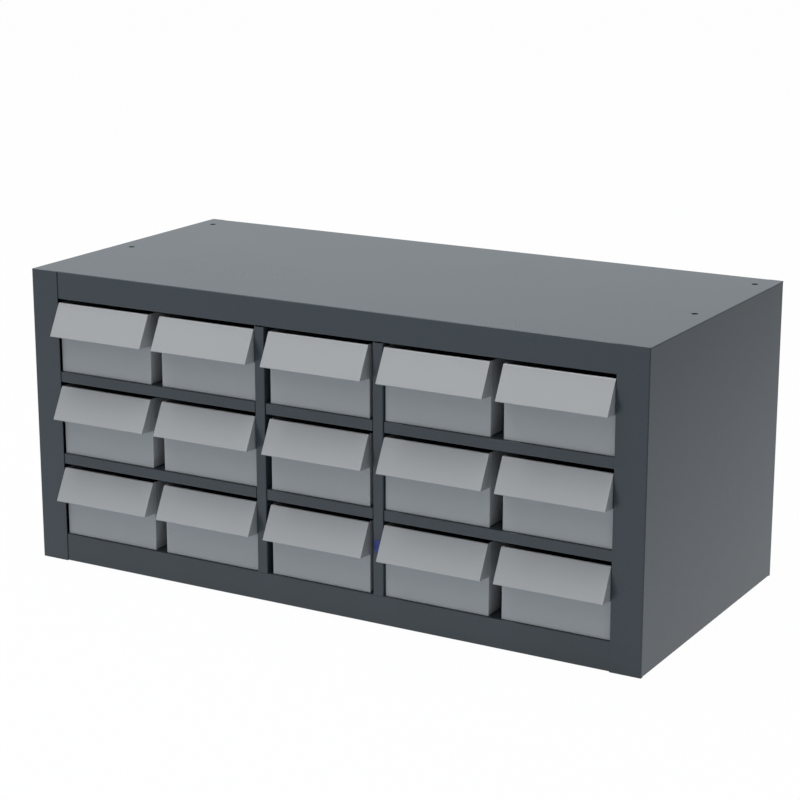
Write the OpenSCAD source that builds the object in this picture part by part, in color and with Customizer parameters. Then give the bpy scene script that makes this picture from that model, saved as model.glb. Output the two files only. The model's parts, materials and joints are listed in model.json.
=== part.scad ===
// Sheet-steel parts bin cabinet with fifteen sliding drawers.
// Millimetres. +Z is up, the drawers open towards -Y, and the origin is on the base, in the middle of
// the whole footprint with the drawers' lips.
// Every piece is one sheet, folded as a press brake folds it: folded() draws the end view of a strip.

/* [Case] */
// Overall width of the case
case_w = 914.4; // [800:0.1:1100]
// Overall depth of the case, without the drawers' lips
case_d = 433.4; // [300:0.1:600]
// Overall height of the case
case_h = 411.5; // [360:0.1:500]
// Thickness of the case's sheet
case_sheet = 1.2; // [0.9:0.1:1.6]
// Inner radius of the case's folds
case_bend = 0.3; // [0.2:0.1:1.5]

/* [Front frame] */
// Width of the stiles, the front flanges of the side panels
stile_w = 42.3; // [36:0.1:50]
// Height of the top rail
top_rail_h = 37.8; // [30:0.1:50]
// Height of the base rail
base_rail_h = 39.2; // [30:0.1:60]
// Height of the rails of the two middle shelves
mid_rail_h = 15; // [14:0.1:24]
// Depth of the flange folded back from the lower edge of each rail
rail_return = 12; // [8:0.5:16]
// Length of rail lapped behind each stile, where the two are spot-welded
rail_lap = 20; // [10:0.5:28]

/* [Mullions] */
// Width of a mullion
mullion_w = 14.9; // [12:0.1:24]
// Depth of a mullion's side flanges
mullion_d = 17; // [14:0.5:24]
// Clearance of the notches in which the mullions pass the middle shelves
mullion_notch = 1.2; // [0.6:0.1:2]
// Gap between a mullion's face and the top rail's lower edge
mullion_head = 0.8; // [0.4:0.1:2]

/* [Flanges] */
// Width of the side panels' top and bottom flanges, which carry the bolts
bolt_flange_w = 40; // [36:0.5:44]
// Width of the flanges round the back panel
rear_flange_w = 20; // [14:0.5:30]
// Height of the flanges at the ends of the shelves
shelf_end_h = 14; // [8:0.5:20]
// Clearance between the edges of neighbouring sheets
edge_gap = 0.3; // [0.2:0.1:0.6]

/* [Bolt holes] */
// Diameter of the bolt holes
bolt_hole_d = 8.7; // [5:0.1:12]
// From a side of the case to the holes near it
bolt_side_inset = 25.4; // [18:0.1:30]
// From the rear of the case to the rear holes
bolt_rear_inset = 38.1; // [25:0.1:60]
// From the rear holes to the front ones
bolt_spacing = 203.2; // [100:0.1:220]

/* [Drawers] */
// Gap between a drawer's front and the rail above it
head_gap = 5.1; // [4:0.1:12]
// Thickness of the drawers' sheet
drawer_sheet = 0.9; // [0.7:0.1:1.2]
// Inner radius of the folds of a tray
tray_bend = 0.6; // [0.3:0.1:1.5]
// From the face of the stiles back to the drawers' front walls
front_setback = 4.5; // [3:0.1:8]
// Clearance between a drawer and what guides it, each side
side_clear = 1.3; // [0.5:0.1:2]
// Gap between the two drawers of a pair
pair_gap = 18.5; // [16:0.1:24]
// Gap between the middle drawers and the mullions
centre_gap = 6.9; // [4:0.1:12]
// Clearance under a drawer
run_clear = 0.3; // [0.2:0.1:0.5]
// Clearance behind a shut drawer
rear_clear = 0.5; // [0.3:0.1:2]
// Height of the upturned front flange of a tray
tray_lip_h = 12; // [8:0.5:20]
// Width of the corner tabs that join a tray's walls
corner_tab_w = 10; // [6:0.5:16]
// Depth of the flattened hems
hem_h = 6; // [4:0.5:9]
// Width of the stop on a tray's back wall
stop_w = 90; // [50:1:110]
// How far the stop reaches up behind the rail that it meets when the drawer is pulled out
stop_catch = 7; // [5:0.5:9]
// Clearance between the stop and the rear flange of the shelf above
stop_clear = 1.8; // [1:0.1:3]

/* [Pull lip] */
// Angle between the lip and the front wall
lip_angle = 27; // [20:0.5:32]
// Length of the lip's straight part
lip_len = 45.3; // [30:0.1:50]
// Outer radius of the roll that joins the lip to the front wall
lip_roll = 2.6; // [2:0.1:4]

/* [Guides] */
// Height of the drawer guides
guide_h = 25; // [15:0.5:40]
// From the face of the stiles back to the guides
guide_start = 34; // [26:1:80]
// Width of the guides' feet
guide_foot_w = 5; // [4:0.5:6.5]
// Width of the end guides' feet
end_foot_w = 20; // [10:0.5:30]
// Width of the end guides' top flanges
end_top_w = 8; // [4:0.5:16]

/* [Hidden] */
$fn = 48;
// The paints
case_paint = "#3f4448";
drawer_paint = "#a0a4a6";

// Outer radii of the folds
case_fold = case_sheet + case_bend;
tray_fold = drawer_sheet + tray_bend;

// Depths, from the face of the stiles at y = 0
rail_y = case_sheet;
back_y = case_d - 2 * case_sheet;
tray_y = front_setback + drawer_sheet;
tray_rear_y = back_y - rear_clear;
// Where the flanges at the ends of a folded part start, clear of the rail in front of them
relief = 2 * case_sheet + case_fold;

// Heights of the three drawer openings and of the shelves under them
opening_h = (case_h - top_rail_h - base_rail_h - 2 * mid_rail_h) / 3;
shelf_zs = [for (i = [0:2]) base_rail_h + i * (opening_h + mid_rail_h)];
top_rail_z = case_h - top_rail_h;
// Height of a drawer's front and walls, and the rise of the stop above them
drawer_h = opening_h - run_clear - head_gap;
stop_rise = head_gap + stop_catch;
// Height of the flanges at the rear of the shelves, which end above the stops
shelf_rear_h = mid_rail_h - stop_catch - stop_clear;

// How far the drawers' lips reach in front of the stiles
lip_reach = lip_roll * (1 + cos(lip_angle)) + lip_len * sin(lip_angle)
    + drawer_sheet * (1 - cos(lip_angle)) - tray_y;

// Widths: the case holds two drawers, a mullion, one drawer, a mullion and two drawers
inner_w = case_w - 2 * stile_w;
drawer_w = (inner_w - 2 * mullion_w - 2 * centre_gap - 4 * side_clear - 2 * pair_gap) / 5;
mullion_x = drawer_w / 2 + centre_gap + mullion_w / 2;
near_x = mullion_x + mullion_w / 2 + side_clear + drawer_w / 2;
far_x = near_x + drawer_w + pair_gap;
drawer_xs = [-far_x, -near_x, 0, near_x, far_x];
rail_half_w = inner_w / 2 + rail_lap;
return_half_w = case_w / 2 - bolt_flange_w - edge_gap;

// Guides fill the gaps between drawers: outer pair, mullion, mullion, outer pair
gap_xs = [for (i = [0:3]) (drawer_xs[i] + drawer_xs[i + 1]) / 2];
gap_ws = [for (i = [0:3]) drawer_xs[i + 1] - drawer_xs[i] - drawer_w];

// The four bolt holes
bolt_xs = [-1, 1] * (case_w / 2 - bolt_side_inset);
bolt_ys = [case_d - bolt_rear_inset - bolt_spacing, case_d - bolt_rear_inset];

ROWS = ["bottom_row", "middle_row", "top_row"];
GAPS = ["left_pair_guide", "left_mullion_guide", "right_mullion_guide", "right_pair_guide"];

// ---------- folded sheet ----------

// A fold seen from its end: a ring of sheet, starting at angle from and swept through turn
module fold(r, sheet, from, turn) {
    reach = 3 * r;
    intersection() {
        difference() {
            circle(r);
            if (r > sheet) circle(r - sheet);
        }
        rotate(from) polygon([
            [0, 0],
            [reach, 0],
            reach * [cos(turn / 2), sin(turn / 2)],
            reach * [cos(turn), sin(turn)]
        ]);
    }
}

// A strip of sheet seen from its end. It starts at the origin along +x with the sheet on its left.
// Each leg is [straight length, turn to the left at its end, outer radius of that fold], and the last
// is [straight length]. A hem is the strip's end flattened back on the inside over that length
module folded(legs, sheet, hem = 0, i = 0) {
    run = legs[i][0];
    // after a fold that isn't square the leg starts a hair inside it, so that the two are one piece
    start = i > 0 && legs[i - 1][1] % 90 != 0 ? -0.01 : 0;
    translate([start, 0]) square([run - start, sheet]);
    if (i < len(legs) - 1) {
        turn = legs[i][1];
        r = legs[i][2];
        translate([run, r]) {
            fold(r, sheet, -90, turn);
            rotate(turn) translate([0, -r]) folded(legs, sheet, hem, i + 1);
        }
    } else if (hem > 0) {
        translate([run - hem, 0]) square([hem, 2 * sheet]);
        translate([run, sheet]) circle(sheet);
    }
}

// A profile drawn in depth and height, made half_w long to each side along x
module along_x(half_w) {
    rotate([90, 0, 90]) linear_extrude(2 * half_w, center = true) children();
}

// A profile drawn in width and height, made long along y from y0 to y1
module along_y(y0, y1) {
    translate([0, y1, 0]) rotate([90, 0, 0]) linear_extrude(y1 - y0) children();
}

// Moves a part that is drawn from the face of the stiles to the frame of the whole cabinet
module in_case() {
    translate([0, (lip_reach - case_d) / 2, 0]) children();
}

module bolt_holes(z0) {
    for (x = bolt_xs, y = bolt_ys)
        translate([x, y, z0 - case_sheet]) cylinder(d = bolt_hole_d, h = 3 * case_sheet);
}

// ---------- case ----------

// Web, stile, rear flange, and the two flanges that carry the bolts
module side_panel() {
    x0 = -case_w / 2;
    panel_h = case_h - case_sheet;
    flange = bolt_flange_w - case_fold;
    color(case_paint) in_case() difference() {
        union() {
            // web with its top and bottom flanges
            along_y(relief, case_d - relief)
                translate([x0 + bolt_flange_w, panel_h]) rotate(180)
                    folded([[flange, 90, case_fold], [panel_h - 2 * case_fold, 90, case_fold], [flange]],
                           case_sheet);
            // stile, up to the top of the case
            linear_extrude(case_h)
                translate([x0, relief + case_sheet]) rotate(-90)
                    folded([[relief + case_sheet - case_fold, 90, case_fold], [stile_w - case_fold]],
                           case_sheet);
            // rear flange
            linear_extrude(panel_h)
                translate([x0 + rear_flange_w, case_d]) rotate(180)
                    folded([[rear_flange_w - case_fold, 90, case_fold],
                            [relief + case_sheet - case_fold]], case_sheet);
        }
        bolt_holes(0);
        bolt_holes(panel_h - case_sheet);
    }
}

module left_side_panel() {
    side_panel();
}

module right_side_panel() {
    mirror([1, 0, 0]) side_panel();
}

// A rail folded down from the front edge of a level sheet, with a stiffening return at its lower edge.
// The return stops short of the side panels' flanges, and the rail laps behind the stiles
module rail(z, h) {
    start = relief + case_sheet;
    top = [start - rail_y - case_fold, 90, case_fold];
    face_h = h - 2 * case_fold;
    along_x(rail_half_w) translate([start, z]) rotate(180)
        folded([top, [face_h]], case_sheet);
    along_x(return_half_w) translate([start, z]) rotate(180)
        folded([top, [face_h, 90, case_fold], [rail_return - case_fold]], case_sheet);
}

// A flange folded down from the rear edge, whose outer face is at depth y
module rear_flange(z, h, y, half_w) {
    along_x(half_w) translate([y, z - h]) rotate(90)
        folded([[h - case_fold, 90, case_fold], [relief - case_fold]], case_sheet);
}

// A level sheet at height z, from the stiles' backs to depth y1, less the strips along its front and
// rear edges where its rail and its rear flange are folded down
module level_sheet(z, half_w, rear_half_w, y1) {
    translate([0, 0, z - case_sheet]) linear_extrude(case_sheet) difference() {
        translate([-half_w, rail_y]) square([2 * half_w, y1 - rail_y]);
        translate([-rail_half_w, 0]) square([2 * rail_half_w, rail_y + case_fold]);
        translate([-rear_half_w, y1 - case_fold]) square([2 * rear_half_w, 2 * case_fold]);
    }
}

// Plain sheet over the whole case, with the top rail in front
module top_panel() {
    rear_half_w = case_w / 2 - rear_flange_w - edge_gap;
    // notches round the upper end of each side panel's front fold and of the web behind it
    fold_notch = case_fold + edge_gap;
    web_notch = [case_sheet + edge_gap, relief + case_sheet + edge_gap];
    color(case_paint) in_case() difference() {
        union() {
            level_sheet(case_h, case_w / 2, rear_half_w, case_d);
            rail(case_h, top_rail_h);
            rear_flange(case_h, rear_flange_w, case_d, rear_half_w);
        }
        for (side = [-1, 1], notch = [[fold_notch, fold_notch], web_notch])
            translate([side * case_w / 2, 0, case_h])
                cube([2 * notch[0], 2 * notch[1], 4 * case_sheet], center = true);
        bolt_holes(case_h - case_sheet);
    }
}

// Flat sheet inside the rear flanges
module back_panel() {
    half_w = case_w / 2 - case_fold - edge_gap;
    color(case_paint) in_case()
        translate([-half_w, back_y, case_sheet])
            cube([2 * half_w, case_sheet, case_h - case_fold - edge_gap - case_sheet]);
}

// A shelf: rail in front, flanges down at the rear and at both ends
module shelf(z, rail_h) {
    half_w = case_w / 2 - case_sheet;
    flat_half_w = half_w - case_fold;
    drop = shelf_end_h - case_fold;
    level_sheet(z, flat_half_w, flat_half_w, back_y);
    rail(z, rail_h);
    rear_flange(z, shelf_rear_h, back_y, flat_half_w);
    along_y(relief, back_y - relief)
        translate([half_w, z - shelf_end_h]) rotate(90)
            folded([[drop, 90, case_fold], [2 * flat_half_w, 90, case_fold], [drop]], case_sheet);
}

module base_shelf() {
    color(case_paint) in_case() shelf(shelf_zs[0], base_rail_h);
}

// A middle shelf is notched where the mullions pass through its rail
module mid_shelf(z) {
    notch_w = mullion_w + 2 * mullion_notch;
    notch_d = mullion_d + mullion_notch;
    color(case_paint) in_case() difference() {
        shelf(z, mid_rail_h);
        for (side = [-1, 1])
            translate([side * mullion_x - notch_w / 2, 0, z - mid_rail_h - 1])
                cube([notch_w, notch_d, mid_rail_h + 2]);
    }
}

module lower_shelf() {
    mid_shelf(shelf_zs[1]);
}

module upper_shelf() {
    mid_shelf(shelf_zs[2]);
}

// Upright channel with its face flush with the stiles. It stands on the base shelf, and its side
// flanges reach up behind the top rail to the rail's return
module mullion() {
    side = mullion_d - case_fold;
    color(case_paint) in_case() translate([0, 0, shelf_zs[0]]) {
        linear_extrude(top_rail_z - shelf_zs[0] - mullion_head)
            translate([-mullion_w / 2, mullion_d]) rotate(-90)
                folded([[side, 90, case_fold], [mullion_w - 2 * case_fold, 90, case_fold], [side]],
                       case_sheet);
        linear_extrude(top_rail_z - shelf_zs[0])
            for (x = [-mullion_w / 2, mullion_w / 2 - case_sheet])
                translate([x, rail_y + case_fold]) square([case_sheet, mullion_d - rail_y - case_fold]);
    }
}

module left_mullion() {
    translate([-mullion_x, 0, 0]) mullion();
}

module right_mullion() {
    translate([mullion_x, 0, 0]) mullion();
}

// ---------- drawer guides ----------

// Channel between two drawers, open below, with its feet turned in
module gap_guide(x, w, z) {
    foot = guide_foot_w - case_fold;
    leg = guide_h - 2 * case_fold;
    color(case_paint) in_case() translate([x, 0, z]) along_y(guide_start, back_y - relief)
        translate([w / 2 - guide_foot_w, 0])
            folded([[foot, 90, case_fold], [leg, 90, case_fold], [w - 2 * case_fold, 90, case_fold],
                    [leg, 90, case_fold], [foot]], case_sheet);
}

// Channel beside the outermost drawer, with its foot and its top turned towards the side panel
module end_guide(z) {
    color(case_paint) in_case() translate([-inner_w / 2 - end_foot_w, 0, z])
        along_y(guide_start, back_y - relief)
            folded([[end_foot_w - case_fold, 90, case_fold], [guide_h - 2 * case_fold, 90, case_fold],
                    [end_top_w - case_fold]], case_sheet);
}

// ---------- drawers ----------

// Puts what is drawn for one drawer in its opening. A drawer's own origin is under its front, in the
// middle of its width, on the face of the stiles
module in_opening(row, column) {
    in_case() translate([drawer_xs[column], 0, shelf_zs[row] + run_clear]) children();
}

// Floor, side walls with hemmed edges, upturned front flange, and a back wall with the raised stop
module tray() {
    // floor and side walls, each side from the middle of the floor
    for (side = [0, 1])
        mirror([side, 0, 0]) along_y(tray_y + tray_fold, tray_rear_y - drawer_sheet - tray_fold)
            folded([[drawer_w / 2 - tray_fold, 90, tray_fold], [drawer_h - drawer_sheet - tray_fold]],
                   drawer_sheet, hem_h);
    // front flange, floor and back wall
    along_x(drawer_w / 2 - tray_fold)
        translate([tray_y, tray_lip_h]) rotate(-90)
            folded([[tray_lip_h - tray_fold, 90, tray_fold],
                    [tray_rear_y - tray_y - 2 * tray_fold, 90, tray_fold],
                    [drawer_h - tray_fold]], drawer_sheet);
    // corner tabs, folded in from the side walls behind the front and inside the back wall
    tab = corner_tab_w - tray_fold;
    tabs_z = tray_lip_h + run_clear;
    for (side = [0, 1])
        mirror([side, 0, 0]) translate([0, 0, tabs_z])
            linear_extrude(drawer_h - 2 * drawer_sheet - hem_h - tabs_z)
                translate([-drawer_w / 2 + corner_tab_w, tray_rear_y - drawer_sheet]) rotate(180)
                    folded([[tab, 90, tray_fold],
                            [tray_rear_y - drawer_sheet - tray_y - 2 * tray_fold, 90, tray_fold],
                            [tab]], drawer_sheet);
    // stop, with its corners cut off
    corner = stop_rise / 2;
    translate([0, tray_rear_y, drawer_h]) rotate([90, 0, 0]) linear_extrude(drawer_sheet)
        polygon([[-stop_w / 2, -drawer_sheet], [stop_w / 2, -drawer_sheet],
                 [stop_w / 2, stop_rise - corner], [stop_w / 2 - corner, stop_rise],
                 [-stop_w / 2 + corner, stop_rise], [-stop_w / 2, stop_rise - corner]]);
}

// Front wall rolled over at its top into the sloping lip, whose edge is hemmed underneath
module front() {
    along_x(drawer_w / 2) translate([tray_y, 0]) rotate(90)
        folded([[drawer_h - lip_roll, 180 - lip_angle, lip_roll], [lip_len]], drawer_sheet, hem_h);
}

module drawer_tray(row, column) {
    color(drawer_paint) in_opening(row, column) tray();
}

module drawer_front(row, column) {
    color(drawer_paint) in_opening(row, column) front();
}

// ---------- assembly ----------

left_side_panel();
right_side_panel();
top_panel();
back_panel();
base_shelf();
lower_shelf();
upper_shelf();
left_mullion();
right_mullion();
for (row = [0:2]) {
    end_guide(shelf_zs[row]);
    mirror([1, 0, 0]) end_guide(shelf_zs[row]);
    for (i = [0:3])
        gap_guide(gap_xs[i], gap_ws[i] - 2 * side_clear, shelf_zs[row]);
    for (i = [0:4]) {
        drawer_tray(row, i);
        drawer_front(row, i);
    }
}
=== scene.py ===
# %% [markdown]
# # A parts bin cabinet in painted sheet steel
# The cabinet is a welded case of dark slate grey sheet with fifteen light grey drawers in it. Every
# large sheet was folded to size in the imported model, so this script doesn't bend that metal again. It
# adds the small cheeks that close the ends of the drawers' lips, and what a shape alone can't tell:
# how the paint looks from near and far, the sticker on it, and the light in which the whole is seen.

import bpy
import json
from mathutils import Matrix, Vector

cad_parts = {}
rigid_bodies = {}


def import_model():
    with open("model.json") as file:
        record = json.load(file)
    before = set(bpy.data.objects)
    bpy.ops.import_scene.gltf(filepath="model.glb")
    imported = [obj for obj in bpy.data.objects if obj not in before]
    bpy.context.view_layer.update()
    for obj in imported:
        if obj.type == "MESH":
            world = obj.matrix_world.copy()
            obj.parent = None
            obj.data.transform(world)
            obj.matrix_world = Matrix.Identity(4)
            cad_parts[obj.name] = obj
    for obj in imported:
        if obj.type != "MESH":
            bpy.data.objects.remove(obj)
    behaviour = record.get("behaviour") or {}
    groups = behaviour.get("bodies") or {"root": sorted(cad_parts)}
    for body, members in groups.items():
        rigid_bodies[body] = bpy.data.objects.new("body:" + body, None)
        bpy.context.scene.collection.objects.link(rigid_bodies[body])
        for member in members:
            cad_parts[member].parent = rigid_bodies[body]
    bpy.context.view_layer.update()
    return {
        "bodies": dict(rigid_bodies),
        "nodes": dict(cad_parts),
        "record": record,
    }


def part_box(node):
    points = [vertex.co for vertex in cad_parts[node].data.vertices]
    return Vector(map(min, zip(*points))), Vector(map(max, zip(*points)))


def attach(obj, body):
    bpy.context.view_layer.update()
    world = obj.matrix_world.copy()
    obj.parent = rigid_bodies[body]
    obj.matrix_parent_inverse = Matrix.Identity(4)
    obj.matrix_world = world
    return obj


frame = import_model()

# %% Other tools that the script uses
import json
import math

import bpy
from mathutils import Matrix, Vector

scene = bpy.context.scene
print("Blender", bpy.app.version_string)

# %% [markdown]
# ## The camera
# A long lens from a few metres away keeps the cabinet's edges nearly parallel. The camera stands to
# the right and a little above, so that the front, the right side and the top all show. Its place
# could be typed in as three coordinates. Here it is set as one sets a real camera, by the point that
# it aims at, how far off it stands and on which side, because those are what one would change.

# %% Camera
AIM = Vector((0.0, 0.0031, 0.2390))
DISTANCE = 3.0182
AZIMUTH = math.radians(30)
ELEVATION = math.radians(15)
LENS_MM = 99.92
SENSOR_MM = 36

camera_data = bpy.data.cameras.new("camera")
camera_data.lens = LENS_MM
camera_data.sensor_width = SENSOR_MM
camera = bpy.data.objects.new("camera", camera_data)
scene.collection.objects.link(camera)
camera.rotation_euler = (math.pi / 2 - ELEVATION, 0, AZIMUTH)
towards_camera = Vector((math.sin(AZIMUTH) * math.cos(ELEVATION),
                         -math.cos(AZIMUTH) * math.cos(ELEVATION),
                         math.sin(ELEVATION)))
camera.location = AIM + DISTANCE * towards_camera
scene.camera = camera
print("camera at", [round(number, 3) for number in camera.location])

# %% [markdown]
# ## Sums on shader wires
# A finish is a sum of small effects, and a row of Math nodes hides that sum. So a wire between two
# nodes is wrapped in a small class with Python's own operators: `0.4 + 0.05 * cloud` then adds the
# two Math nodes by itself, and `a | b` is the greater of the two. Any other node comes from one
# method, which sets the node's options first and its inputs second, because some options change
# which inputs there are. A world is built from nodes too, so the same class serves for both.
#
# A few small methods name what is made more than once: a noise, a bump, the rays that see the
# background, the white that they see, how that white falls off, and a mix of two shaders.

# %% A wire that can be reckoned with
class Wire:
    """A value on its way from one shader node to another."""

    def __init__(self, graph, socket):
        self.graph = graph
        self.socket = socket

    def __getitem__(self, output):
        """Another output of the node that this wire comes from."""
        return Wire(self.graph, self.socket.node.outputs[output])

    def reckon(self, operation, first, second):
        return self.graph.node("ShaderNodeMath", {"operation": operation}, {0: first, 1: second})

    def __add__(self, other):
        return self.reckon("ADD", self, other)

    def __radd__(self, other):
        return self.reckon("ADD", other, self)

    def __sub__(self, other):
        return self.reckon("SUBTRACT", self, other)

    def __rsub__(self, other):
        return self.reckon("SUBTRACT", other, self)

    def __mul__(self, other):
        return self.reckon("MULTIPLY", self, other)

    def __rmul__(self, other):
        return self.reckon("MULTIPLY", other, self)

    def __or__(self, other):
        return self.reckon("MAXIMUM", self, other)

    def __ror__(self, other):
        return self.reckon("MAXIMUM", other, self)


# %% Two whites, and where a Mix node keeps its sockets for colours
WHITE = (1, 1, 1, 1)
COOL_WHITE = (0.95, 1.0, 1.05, 1)
MIX_FACTOR, MIX_FIRST, MIX_SECOND, MIX_RESULT = 0, 6, 7, 2
print("white in a gloss:", COOL_WHITE[:3])

# %% A node graph that is built node by node
class Graph:
    """The nodes of a material or a world, with one method that adds any of them."""

    def __init__(self, owner):
        self.owner = owner
        owner.use_nodes = True
        self.tree = owner.node_tree
        self.tree.nodes.clear()

    def node(self, kind, settings=(), inputs=(), output=0):
        """Adds a node, sets its options and then its inputs, and gives back one output as a Wire."""
        made = self.tree.nodes.new(kind)
        for option, value in dict(settings).items():
            if option == "stops":
                self.set_stops(made.color_ramp, value)
            else:
                setattr(made, option, value)
        for name, value in dict(inputs).items():
            if isinstance(value, Wire):
                self.tree.links.new(value.socket, made.inputs[name])
            else:
                made.inputs[name].default_value = value
        return Wire(self, made.outputs[output]) if made.outputs else made

    def set_stops(self, ramp, stops):
        """Gives a colour ramp its stops, as (place, colour) pairs."""
        while len(ramp.elements) < len(stops):
            ramp.elements.new(1)
        for element, (place, colour) in zip(ramp.elements, stops):
            element.position = place
            element.color = (*colour, 1)

    def noise(self, place, per_metre, detail):
        """A noise with so many spots to the metre, and finer spots in them if detail is over 0."""
        return self.node("ShaderNodeTexNoise", (), {
            "Vector": place,
            "Scale": per_metre,
            "Detail": detail,
        })

    def bump(self, height, depth):
        """A surface that seems to rise by a depth, in metres, where the height is 1."""
        return self.node("ShaderNodeBump", (), {
            "Height": height,
            "Distance": depth,
            "Strength": 1.0,
        })

    def seen(self):
        """1 for a ray that shows the background: to the camera, off a gloss or through glass."""
        ray = self.node("ShaderNodeLightPath")
        return ray["Is Camera Ray"] | ray["Is Glossy Ray"] | ray["Is Transmission Ray"]

    def white(self):
        """White to the camera, and a touch cooler in a gloss."""
        ray = self.node("ShaderNodeLightPath")
        return self.node("ShaderNodeMix", {"data_type": "RGBA"}, {
            MIX_FACTOR: ray["Is Camera Ray"],
            MIX_FIRST: COOL_WHITE,
            MIX_SECOND: WHITE,
        }, MIX_RESULT)

    def ramp(self, value, start, end, level):
        """1 while the value is at start, and falling to a level where it has come to end."""
        return self.node("ShaderNodeMapRange", (), {
            "Value": value,
            "From Min": start,
            "From Max": end,
            "To Min": 1.0,
            "To Max": level,
        })

    def mix_shaders(self, share, first, second):
        """One shader where the share is 0, another where it is 1, and a mix in between."""
        return self.node("ShaderNodeMixShader", (), {"Fac": share, 1: first, 2: second})

    def finish(self, shader, kind="ShaderNodeOutputMaterial"):
        """Sends a shader to the surface, and gives back the material or the world."""
        self.node(kind, (), {"Surface": shader})
        return self.owner


# %% [markdown]
# ## Powder coat
# Both paints on the cabinet are powder coat: a dry powder that is baked until it flows together. It
# sets with a faint skin like orange peel, about a millimetre and a half from dimple to dimple, and
# it is never quite one colour. Under a lens it is a speckle of pigment grains, and from a step away
# it is slightly clouded where the coat is thicker. The skin is glossier than it looks from the
# front: seen at a flat angle, as the top is here, it takes on the white of the room.
#
# A picture of real paint could be laid over the pieces, but it would have to be fitted to each fold,
# and it would repeat. So each effect is one noise of its own size, read in the object's own metres.
# Neighbouring pieces then differ, and nothing slides when a drawer moves.

# %% Colours as they are written on screen
def linear(hex_colour):
    """Turns a colour such as "#808080" into the linear red, green and blue that a shader wants."""
    shares = [int(hex_colour[i:i + 2], 16) / 255 for i in (1, 3, 5)]
    return tuple(s / 12.92 if s <= 0.04045 else ((s + 0.055) / 1.055) ** 2.4 for s in shares)


print("a mid grey on screen is linear", round(linear("#808080")[0], 3))

# %% Powder coat
PEEL_PER_METRE = 700
GRAIN_PER_METRE = 2600
CLOUD_PER_METRE = 7
PEEL_HEIGHT = 0.000012
NOISE_MIDDLE = 0.5
CLOUD_IN_COLOUR, GRAIN_IN_COLOUR = 0.7, 1.4
CLOUD_IN_GLOSS, PEEL_IN_GLOSS = 0.04, 0.05


def powder_coat(name, hex_colour, roughness, speckle):
    """Baked powder paint. speckle is how far its grains and clouds stray from the one colour."""
    coat = Graph(bpy.data.materials.new(name))
    place = coat.node("ShaderNodeTexCoord", (), (), "Object")
    peel = coat.noise(place, PEEL_PER_METRE, 1.0) - NOISE_MIDDLE
    grain = coat.noise(place, GRAIN_PER_METRE, 0.0) - NOISE_MIDDLE
    cloud = coat.noise(place, CLOUD_PER_METRE, 2.0) - NOISE_MIDDLE
    paint = linear(hex_colour)
    thin = tuple(share * (1 - speckle) for share in paint)
    thick = tuple(share * (1 + speckle) for share in paint)
    mottle = NOISE_MIDDLE + CLOUD_IN_COLOUR * cloud + GRAIN_IN_COLOUR * grain
    colour = coat.node("ShaderNodeValToRGB", {"stops": [(0.0, thin), (1.0, thick)]}, {"Fac": mottle})
    shader = coat.node("ShaderNodeBsdfPrincipled", (), {
        "Base Color": colour,
        "Roughness": roughness + CLOUD_IN_GLOSS * cloud + PEEL_IN_GLOSS * peel,
        "Normal": coat.bump(peel, PEEL_HEIGHT),
    })
    return coat.finish(shader)


print("dimples of the peel are about", round(1000 / PEEL_PER_METRE, 1), "mm across")

# %% The two paints, by the slots that the model names
PAINT_OF_SLOT = {
    "case_paint": powder_coat("slate_powder_coat", "#333c42", roughness=0.26, speckle=0.09),
    "drawer_paint": powder_coat("light_grey_powder_coat", "#a8aaac", roughness=0.36, speckle=0.05),
}
print("nodes in a paint:", [len(paint.node_tree.nodes) for paint in PAINT_OF_SLOT.values()])

# %% Paint every piece by the slot that the model gives it
for entry in frame["record"]["subparts"]:
    piece = frame["nodes"][entry["node"]]
    piece.data.materials.clear()
    piece.data.materials.append(PAINT_OF_SLOT[entry["material_slot"]])
print("painted:", {slot: paint.name for slot, paint in PAINT_OF_SLOT.items()})

# %% [markdown]
# ## Cheeks at the ends of the lips
# The lip of a real drawer isn't an open flap. A small cheek at each end, folded back from the lip and
# flush with the drawer's side, closes the space between the lip and the front wall, so that nothing
# catches on a sharp corner. The cheek is flat sheet, so it could be a cut-down box, but its edge has
# to follow the roll, the slope and the hem without a gap. So a plane is merged into a single point,
# and the point is drawn out along that outline, stroke by stroke as a scriber marks sheet. The
# outline is then filled, given the sheet's thickness and dulled at its edges. Both ends of all
# fifteen lips take a copy of the same cheek.

# %% Outline of a cheek, in depth and height
SHEET = 0.0009
LIP_ANGLE = math.radians(27)
LIP_LENGTH = 0.0453
LIP_ROLL = 0.0026
HEM = 0.006
CHEEK_DROP = 0.0021
ARC_STEPS = 7

front_low, front_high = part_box("bottom_row_drawer_1_front")
roll_centre = Vector((front_high.y - LIP_ROLL, front_high.z - LIP_ROLL))
outwards = Vector((-math.cos(LIP_ANGLE), math.sin(LIP_ANGLE)))
downwards = Vector((-math.sin(LIP_ANGLE), -math.cos(LIP_ANGLE)))


def under_lip(layers, way_down):
    """A point under the lip: so many layers of sheet below its outer face, and so far down it."""
    return roll_centre + (LIP_ROLL - layers * SHEET) * outwards + way_down * downwards


wall_y = front_high.y - SHEET
sweep_angle = math.pi - LIP_ANGLE
in_roll = [
    roll_centre + (LIP_ROLL - SHEET) * Vector((math.cos(angle), math.sin(angle)))
    for angle in (sweep_angle * step / ARC_STEPS for step in range(ARC_STEPS))
]
outline = [
    Vector((wall_y, under_lip(1, LIP_LENGTH).y - CHEEK_DROP)),
    *in_roll,
    under_lip(1, 0),
    under_lip(1, LIP_LENGTH - HEM),
    under_lip(2, LIP_LENGTH - HEM),
    under_lip(2, LIP_LENGTH),
]
print("points in the outline:", len(outline))

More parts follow.
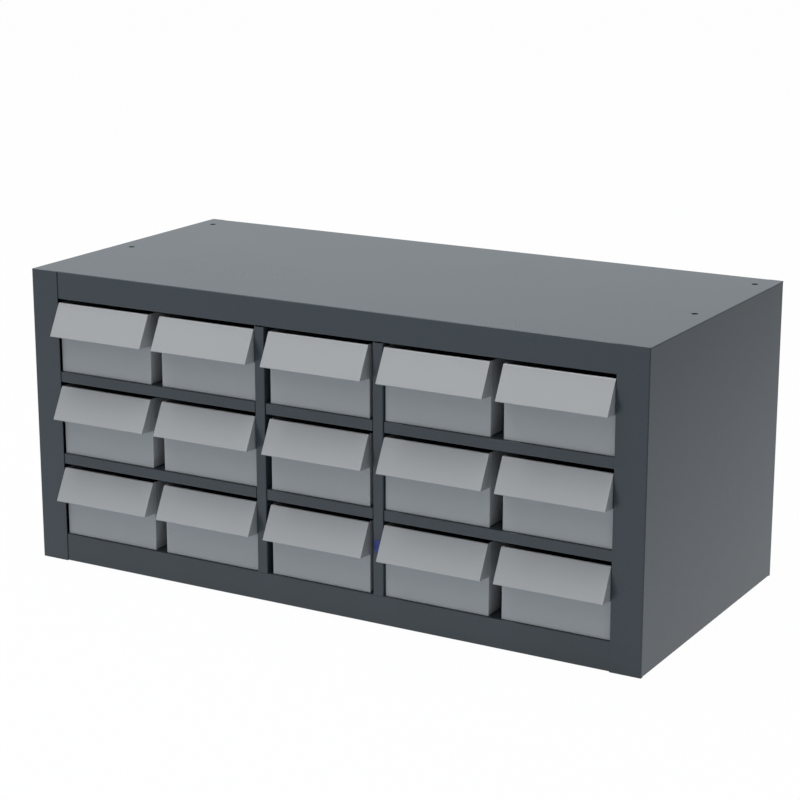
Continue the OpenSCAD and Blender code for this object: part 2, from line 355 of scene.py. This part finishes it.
# %% Draw the outline out of one point, and fill it
first = Vector((front_low.x, outline[0].x, outline[0].y))
bpy.ops.object.select_all(action="DESELECT")
bpy.ops.mesh.primitive_plane_add(size=SHEET, location=first)
cheek = bpy.context.object
bpy.ops.object.transform_apply(location=True, rotation=True, scale=True)
bpy.ops.object.mode_set(mode="EDIT")
bpy.ops.mesh.select_all(action="SELECT")
bpy.ops.mesh.merge(type="CENTER")
for here, there in zip(outline, outline[1:]):
    bpy.ops.mesh.extrude_region_move(
        TRANSFORM_OT_translate={"value": (0, there.x - here.x, there.y - here.y)})
bpy.ops.mesh.select_all(action="SELECT")
bpy.ops.mesh.edge_face_add()
bpy.ops.object.mode_set(mode="OBJECT")
print("cheek:", len(cheek.data.vertices), "points,", len(cheek.data.polygons), "face")

# %% Thickness of the sheet, and dulled edges
EDGE_DULLING = 0.00012
EDGE_STEPS = 2
SHARP_ABOVE = math.radians(40)
plate = cheek.modifiers.new("plate", "SOLIDIFY")
plate.thickness = SHEET
plate.offset = 1 if cheek.data.polygons[0].normal.x > 0 else -1
bpy.ops.object.modifier_apply(modifier=plate.name)
dull = cheek.modifiers.new("dull", "BEVEL")
dull.width = EDGE_DULLING
dull.segments = EDGE_STEPS
dull.limit_method = "ANGLE"
dull.angle_limit = SHARP_ABOVE
bpy.ops.object.modifier_apply(modifier=dull.name)
cheek.data.materials.append(PAINT_OF_SLOT["drawer_paint"])
print("cheek spans", [round(1000 * length, 2) for length in cheek.dimensions], "mm")

# %% A copy at each end of every lip
for body in sorted(name for name in frame["bodies"] if "drawer" in name):
    low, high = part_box(body + "_front")
    for end, x in (("left", low.x), ("right", high.x - SHEET)):
        copy = bpy.data.objects.new(f"{body}_{end}_cheek", cheek.data.copy())
        scene.collection.objects.link(copy)
        copy.data.transform(Matrix.Translation((x - front_low.x, 0, low.z - front_low.z)))
        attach(copy, body)
bpy.data.objects.remove(cheek)

# %% [markdown]
# ## The sticker
# A small blue sticker sits on the right upright, beside the bottom row. It is a piece of film, so it
# could be a thin box, but a box has sharp corners and lies dead flat. Here it starts as a plane of
# its outline, and a bevel of the corner points alone rounds it, because a square corner soon peels.
# The plane is then cut into slanting strips, so that the corner which was once picked at can stand
# up a little from the steel, and it gets its thickness last. It is placed from the upright's own
# box, so that it stays on the steel if the upright moves.

# %% Outline of the film
FILM_WIDTH = 0.0108
FILM_HEIGHT = 0.0170
FILM_CORNER = 0.0018
CORNER_STEPS = 5
FILM_FOOT = 0.0975

upright_low, upright_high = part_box("right_mullion")
upright_middle = (upright_low.x + upright_high.x) / 2
film_middle = Vector((upright_middle, upright_low.y, FILM_FOOT + FILM_HEIGHT / 2))
bpy.ops.object.select_all(action="DESELECT")
bpy.ops.mesh.primitive_plane_add(size=1, location=film_middle, rotation=(math.pi / 2, 0, 0))
sticker = bpy.context.object
sticker.name = "sticker"
sticker.scale = (FILM_WIDTH, FILM_HEIGHT, 1)
bpy.ops.object.transform_apply(location=True, rotation=True, scale=True)
bpy.ops.object.mode_set(mode="EDIT")
bpy.ops.mesh.select_all(action="SELECT")
bpy.ops.mesh.bevel(affect="VERTICES", offset=FILM_CORNER, segments=CORNER_STEPS)
bpy.ops.object.mode_set(mode="OBJECT")
print("points round the sticker:", len(sticker.data.vertices))

# %% Strips across the corner that lifts
STRIPS = 8
LIFT_REACH = 0.0065
film_corner = film_middle + Vector((FILM_WIDTH / 2, 0, FILM_HEIGHT / 2))
inwards = Vector((-1, 0, -1)).normalized()
for strip in range(1, STRIPS + 1):
    crease = film_corner + inwards * LIFT_REACH * strip / STRIPS
    bpy.ops.object.mode_set(mode="EDIT")
    bpy.ops.mesh.select_all(action="SELECT")
    bpy.ops.mesh.bisect(plane_co=crease, plane_no=inwards)
    bpy.ops.object.mode_set(mode="OBJECT")
print("strips:", len(sticker.data.polygons))

# %% Lift the corner strip by strip, so that it curls
LIFT = 0.0007
for strip in range(1, STRIPS + 1):
    bpy.ops.object.mode_set(mode="EDIT")
    bpy.ops.mesh.select_all(action="DESELECT")
    bpy.ops.object.mode_set(mode="OBJECT")
    for point in sticker.data.vertices:
        depth = (point.co - film_corner).dot(inwards)
        point.select = depth < LIFT_REACH * (strip - 0.5) / STRIPS
    bpy.ops.object.mode_set(mode="EDIT")
    step_up = 2 * LIFT * (STRIPS - strip + 1) / STRIPS ** 2
    bpy.ops.transform.translate(value=(0, -step_up, 0))
    bpy.ops.object.mode_set(mode="OBJECT")
tip = min(point.co.y for point in sticker.data.vertices)
print("corner stands", round(1000 * (upright_low.y - tip), 2), "mm up")

# %% Thickness and body of the film
FILM_THICKNESS = 0.00012
SMOOTH_BELOW = math.radians(35)
film = sticker.modifiers.new("film", "SOLIDIFY")
film.thickness = FILM_THICKNESS
film.offset = 1
bpy.ops.object.modifier_apply(modifier=film.name)
bpy.ops.object.shade_smooth_by_angle(angle=SMOOTH_BELOW)
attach(sticker, "case")
print("sticker spans", [round(1000 * length, 2) for length in sticker.dimensions], "mm")

# %% [markdown]
# ## Blue film
# Printed film is smoother than the paint round it, so it shines more. Its ink is laid on in tiny
# dots, and it has faded a little in patches. The glue under it isn't quite even either, which shows
# as soft dents a few millimetres across. A flat blue would do at a distance, but three noises, one
# for each of these, keep the sticker a piece of film when it is seen from near.

# %% Film finish
DOTS_PER_METRE = 6000
FADING_PER_METRE = 180
DENTS_PER_METRE = 450
DENT_DEPTH = 0.00004
FADING_IN_COLOUR, DOTS_IN_COLOUR = 0.6, 0.4
FULL_INK, FADED_INK, PAPER_IN_FADED = 0.85, 1.1, 0.01
FULL_UP_TO, FADED_FROM = 0.3, 0.7
FILM_ROUGHNESS = 0.34
FADING_IN_GLOSS = 0.1


def blue_film(name, hex_colour):
    """Printed self-adhesive film with uneven ink and glue."""
    print_run = Graph(bpy.data.materials.new(name))
    place = print_run.node("ShaderNodeTexCoord", (), (), "Object")
    dots = print_run.noise(place, DOTS_PER_METRE, 0.0)
    fading = print_run.noise(place, FADING_PER_METRE, 3.0)
    glue = print_run.noise(place, DENTS_PER_METRE, 0.0)
    ink = linear(hex_colour)
    full = tuple(FULL_INK * share for share in ink)
    faded = tuple(FADED_INK * share + PAPER_IN_FADED for share in ink)
    colour = print_run.node(
        "ShaderNodeValToRGB",
        {"stops": [(FULL_UP_TO, full), (FADED_FROM, faded)]},
        {"Fac": FADING_IN_COLOUR * fading + DOTS_IN_COLOUR * dots})
    shader = print_run.node("ShaderNodeBsdfPrincipled", (), {
        "Base Color": colour,
        "Roughness": FILM_ROUGHNESS + FADING_IN_GLOSS * (fading - NOISE_MIDDLE),
        "Normal": print_run.bump(glue, DENT_DEPTH),
    })
    return print_run.finish(shader)


sticker.data.materials.append(blue_film("blue_film", "#1c3180"))
print("finish of the sticker:", sticker.data.materials[0].name)

# %% [markdown]
# ## The floor
# A studio would have a curved sheet of paper here. A flat plane does the same with one face, if it
# shines white to the camera, because then it has no edge and no horizon from any side. It is lit only
# a little besides, so that the cabinet's shadow stays on it as a faint grey. Its own colour is a pale
# cool grey, whose bounce gives the drawers' walls the hue that they have under their lips.
#
# In the gloss of the paint the floor is white near the cabinet, and a touch cool. That glow is painted
# light, a pool that is made to dim to the right, away from the key lamp, and weakly to the front.
# Without that, the right side would be one flat tone from its foot to its top, and so would the fronts.

# %% How the floor shines, and where it dims in a gloss
FLOOR_SIZE = 30
FLOOR_GLOW = 0.98
FLOOR_COLOUR = (0.74, 0.81, 0.87, 1)
RIGHT_FROM, RIGHT_TO = 0.2, 1.25
RIGHT_LEVEL = 0.44
FRONT_FROM, FRONT_TO = -0.4, -1.7
FRONT_LEVEL = 0.85
print("the floor dims to", RIGHT_LEVEL, "on the right and to", FRONT_LEVEL, "in front")

# %% Floor
bpy.ops.object.select_all(action="DESELECT")
bpy.ops.mesh.primitive_plane_add(size=FLOOR_SIZE, location=(0, 0, 0))
floor = bpy.context.object
floor.name = "floor"
sweep = Graph(bpy.data.materials.new("pale_sweep"))
ray = sweep.node("ShaderNodeLightPath")
spot = sweep.node("ShaderNodeTexCoord", (), (), "Object")
across = sweep.node("ShaderNodeSeparateXYZ", (), {"Vector": spot}, "X")
# Painted pool of light: the glow that the paint mirrors is made weaker to the right and to the front.
to_the_right = sweep.ramp(across, RIGHT_FROM, RIGHT_TO, RIGHT_LEVEL)
to_the_front = sweep.ramp(across["Y"], FRONT_FROM, FRONT_TO, FRONT_LEVEL)
in_gloss = to_the_right * to_the_front
matt = sweep.node("ShaderNodeBsdfDiffuse", (), {"Color": FLOOR_COLOUR})
glow = sweep.node("ShaderNodeEmission", (), {
    "Color": sweep.white(),
    "Strength": ray["Is Camera Ray"] | in_gloss,
})
floor.data.materials.append(sweep.finish(sweep.mix_shaders(FLOOR_GLOW * sweep.seen(), matt, glow)))
print("floor spans", round(floor.dimensions.x), "m")

# %% [markdown]
# ## The light
# Broad soft lamps, as in a product studio. One hard lamp would be simpler, but it would draw a sharp
# black shadow under every lip. Most of the light comes from two high lamps, because the tops of
# things are the brightest in daylight too: one almost straight above, and the key a little lower and
# to the left, so that every lip throws a soft shadow on the upright to its right. A weaker lamp in
# front opens the shadows under the lips, and one behind keeps the back from going dark.

# %% Lamps
LAMP_DISTANCE = 4.0
LAMP_AIM = Vector((0, 0, 0.2))


def softbox(name, azimuth, elevation, size, power):
    """A square lamp that looks at the cabinet. Azimuth 0 is in front of it and 90 on its right."""
    data = bpy.data.lights.new(name, "AREA")
    data.shape = "SQUARE"
    data.size = size
    data.energy = power
    lamp = bpy.data.objects.new(name, data)
    scene.collection.objects.link(lamp)
    turn, rise = math.radians(azimuth), math.radians(elevation)
    way = Vector((math.sin(turn) * math.cos(rise), -math.cos(turn) * math.cos(rise), math.sin(rise)))
    lamp.location = LAMP_AIM + LAMP_DISTANCE * way
    lamp.rotation_euler = way.to_track_quat("Z", "Y").to_euler()
    return lamp


softbox("lamp_above", azimuth=49, elevation=84, size=1.2, power=51)
softbox("lamp_key", azimuth=315, elevation=72, size=1.4, power=64)
softbox("lamp_front", azimuth=0, elevation=50, size=1.4, power=11)
softbox("lamp_behind", azimuth=215, elevation=42, size=1.4, power=5)

# %% [markdown]
# ## The room
# The room round the cabinet is white and lights it a little from all sides. It could be a box of
# walls, but a world needs none. To the camera it is plain white, and in a gloss it is a touch cool.
# Towards the back it also dims in a gloss, because the top mirrors it at a flat angle and would
# otherwise come out too pale for a dark paint.

# %% World
WORLD_LIGHT = 0.31
BACK_FROM, BACK_TO = 0.0, 0.7
BACK_LEVEL = 0.73
studio = Graph(bpy.data.worlds.new("studio"))
ray = studio.node("ShaderNodeLightPath")
way = studio.node("ShaderNodeTexCoord", (), (), "Generated")
backwards = studio.node("ShaderNodeSeparateXYZ", (), {"Vector": way}, "Y")
in_gloss = studio.ramp(backwards, BACK_FROM, BACK_TO, BACK_LEVEL)
dim = studio.node("ShaderNodeBackground", (), {"Color": WHITE, "Strength": WORLD_LIGHT})
bright = studio.node("ShaderNodeBackground", (), {
    "Color": studio.white(),
    "Strength": ray["Is Camera Ray"] | in_gloss,
})
scene.world = studio.finish(studio.mix_shaders(studio.seen(), dim, bright), "ShaderNodeOutputWorld")
print("the room lights the cabinet at", WORLD_LIGHT, "and shows at 1 to the camera")

# %% [markdown]
# ## The picture
# The Standard view shows a colour as it was written, where a filmic one would bend it.

# %% Picture settings
scene.view_settings.view_transform = "Standard"
print("view:", scene.view_settings.view_transform)
